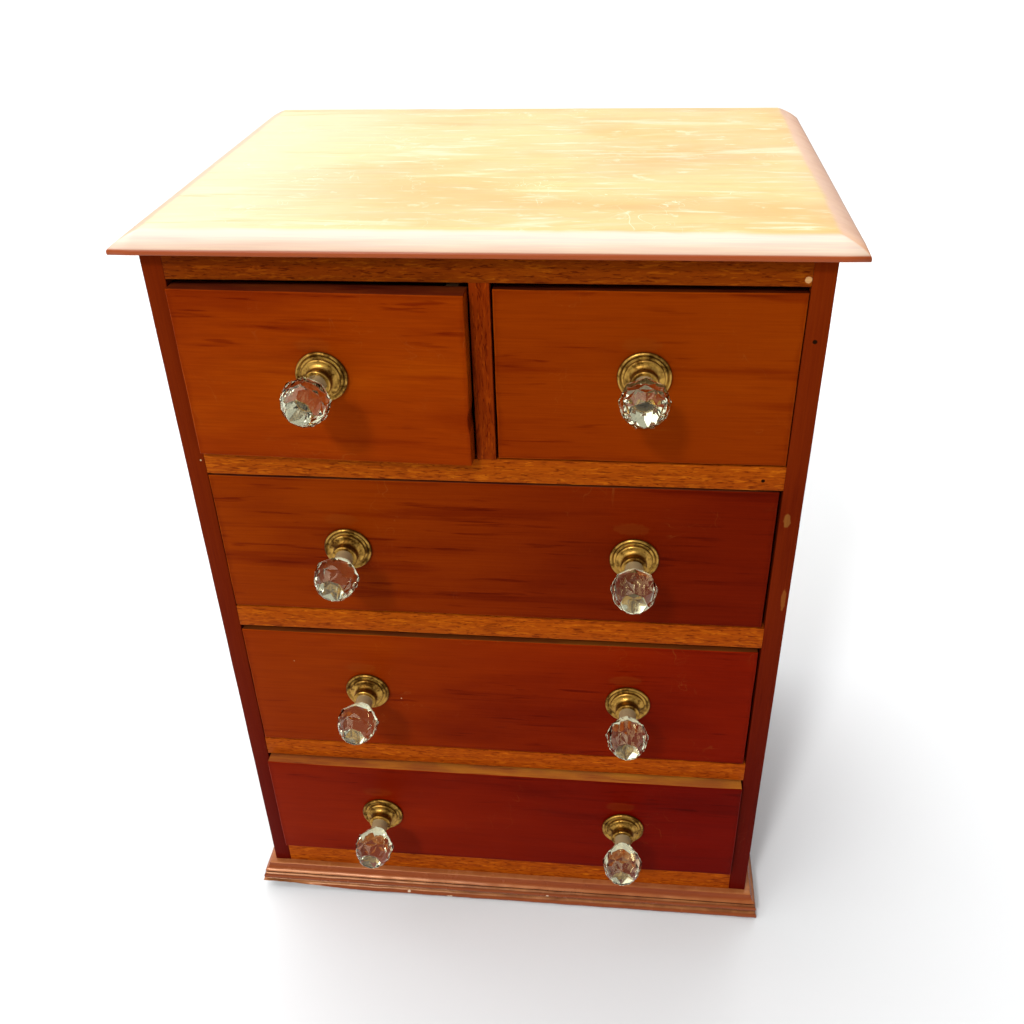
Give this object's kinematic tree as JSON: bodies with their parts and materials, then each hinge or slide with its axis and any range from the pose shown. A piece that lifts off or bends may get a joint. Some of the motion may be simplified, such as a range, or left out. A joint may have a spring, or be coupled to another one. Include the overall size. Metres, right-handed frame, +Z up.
{
  "type": "miniature chest of drawers",
  "caption": "Small wooden chest of drawers: short drawers side by side over long ones, a moulded top and base, faceted glass knobs on brass roses.",
  "frame": {"origin": "on the floor, in the middle of the whole chest's footprint, knobs included", "axes": "+X to the right of a viewer facing the drawers, +Y from the front to the back, +Z up"},
  "size_m": [0.356, 0.305, 0.4764],
  "materials": {
    "front_wood": "polished red-brown softwood, French polish",
    "case_wood": "dark red-brown, polished",
    "top_wood": "worn golden brown, polished, scuffed",
    "rail_oak": "polished oak with dark pores",
    "moulding_wood": "polished red-brown",
    "inner_wood": "bare pine",
    "brass": "aged, worn bright on the rims",
    "glass": "clear cut glass",
    "steel": "dull, slightly rusty"
  },
  "bodies": {
    "case": {"left_side": "case_wood", "right_side": "case_wood", "top_board": "top_wood", "back_panel": "inner_wood", "bottom_board": "inner_wood", "top_rail": "rail_oak", "upper_rail": "rail_oak", "middle_rail": "rail_oak", "lower_rail": "rail_oak", "base_rail": "rail_oak", "centre_divider": "rail_oak", "side_runners": "inner_wood", "centre_runner": "inner_wood", "centre_guide": "inner_wood", "top_kickers": "inner_wood", "base_moulding_front": "moulding_wood", "base_moulding_left": "moulding_wood", "base_moulding_right": "moulding_wood", "back_nails": "steel", "top_screws": "steel"},
    "drawer_top_left": {"drawer_top_left_front": "front_wood", "drawer_top_left_left_side": "inner_wood", "drawer_top_left_right_side": "inner_wood", "drawer_top_left_back": "inner_wood", "drawer_top_left_bottom": "inner_wood", "drawer_top_left_roses": "brass", "drawer_top_left_knobs": "glass", "drawer_top_left_knob_bolts": "steel"},
    "drawer_top_right": {"drawer_top_right_front": "front_wood", "drawer_top_right_left_side": "inner_wood", "drawer_top_right_right_side": "inner_wood", "drawer_top_right_back": "inner_wood", "drawer_top_right_bottom": "inner_wood", "drawer_top_right_roses": "brass", "drawer_top_right_knobs": "glass", "drawer_top_right_knob_bolts": "steel"},
    "drawer_upper": {"drawer_upper_front": "front_wood", "drawer_upper_left_side": "inner_wood", "drawer_upper_right_side": "inner_wood", "drawer_upper_back": "inner_wood", "drawer_upper_bottom": "inner_wood", "drawer_upper_roses": "brass", "drawer_upper_knobs": "glass", "drawer_upper_knob_bolts": "steel"},
    "drawer_middle": {"drawer_middle_front": "front_wood", "drawer_middle_left_side": "inner_wood", "drawer_middle_right_side": "inner_wood", "drawer_middle_back": "inner_wood", "drawer_middle_bottom": "inner_wood", "drawer_middle_roses": "brass", "drawer_middle_knobs": "glass", "drawer_middle_knob_bolts": "steel"},
    "drawer_lower": {"drawer_lower_front": "front_wood", "drawer_lower_left_side": "inner_wood", "drawer_lower_right_side": "inner_wood", "drawer_lower_back": "inner_wood", "drawer_lower_bottom": "inner_wood", "drawer_lower_roses": "brass", "drawer_lower_knobs": "glass", "drawer_lower_knob_bolts": "steel"}
  },
  "joints": [
    {"name": "top_left_slide", "type": "slide", "parent": "case", "child": "drawer_top_left", "axis": [0, -1, 0], "range_m": [-0.0044, 0.14]},
    {"name": "top_right_slide", "type": "slide", "parent": "case", "child": "drawer_top_right", "axis": [0, -1, 0], "range_m": [0, 0.14]},
    {"name": "upper_slide", "type": "slide", "parent": "case", "child": "drawer_upper", "axis": [0, -1, 0], "range_m": [0, 0.14]},
    {"name": "middle_slide", "type": "slide", "parent": "case", "child": "drawer_middle", "axis": [0, -1, 0], "range_m": [-0.0004, 0.14]},
    {"name": "lower_slide", "type": "slide", "parent": "case", "child": "drawer_lower", "axis": [0, -1, 0], "range_m": [-0.006, 0.14]}
  ]
}
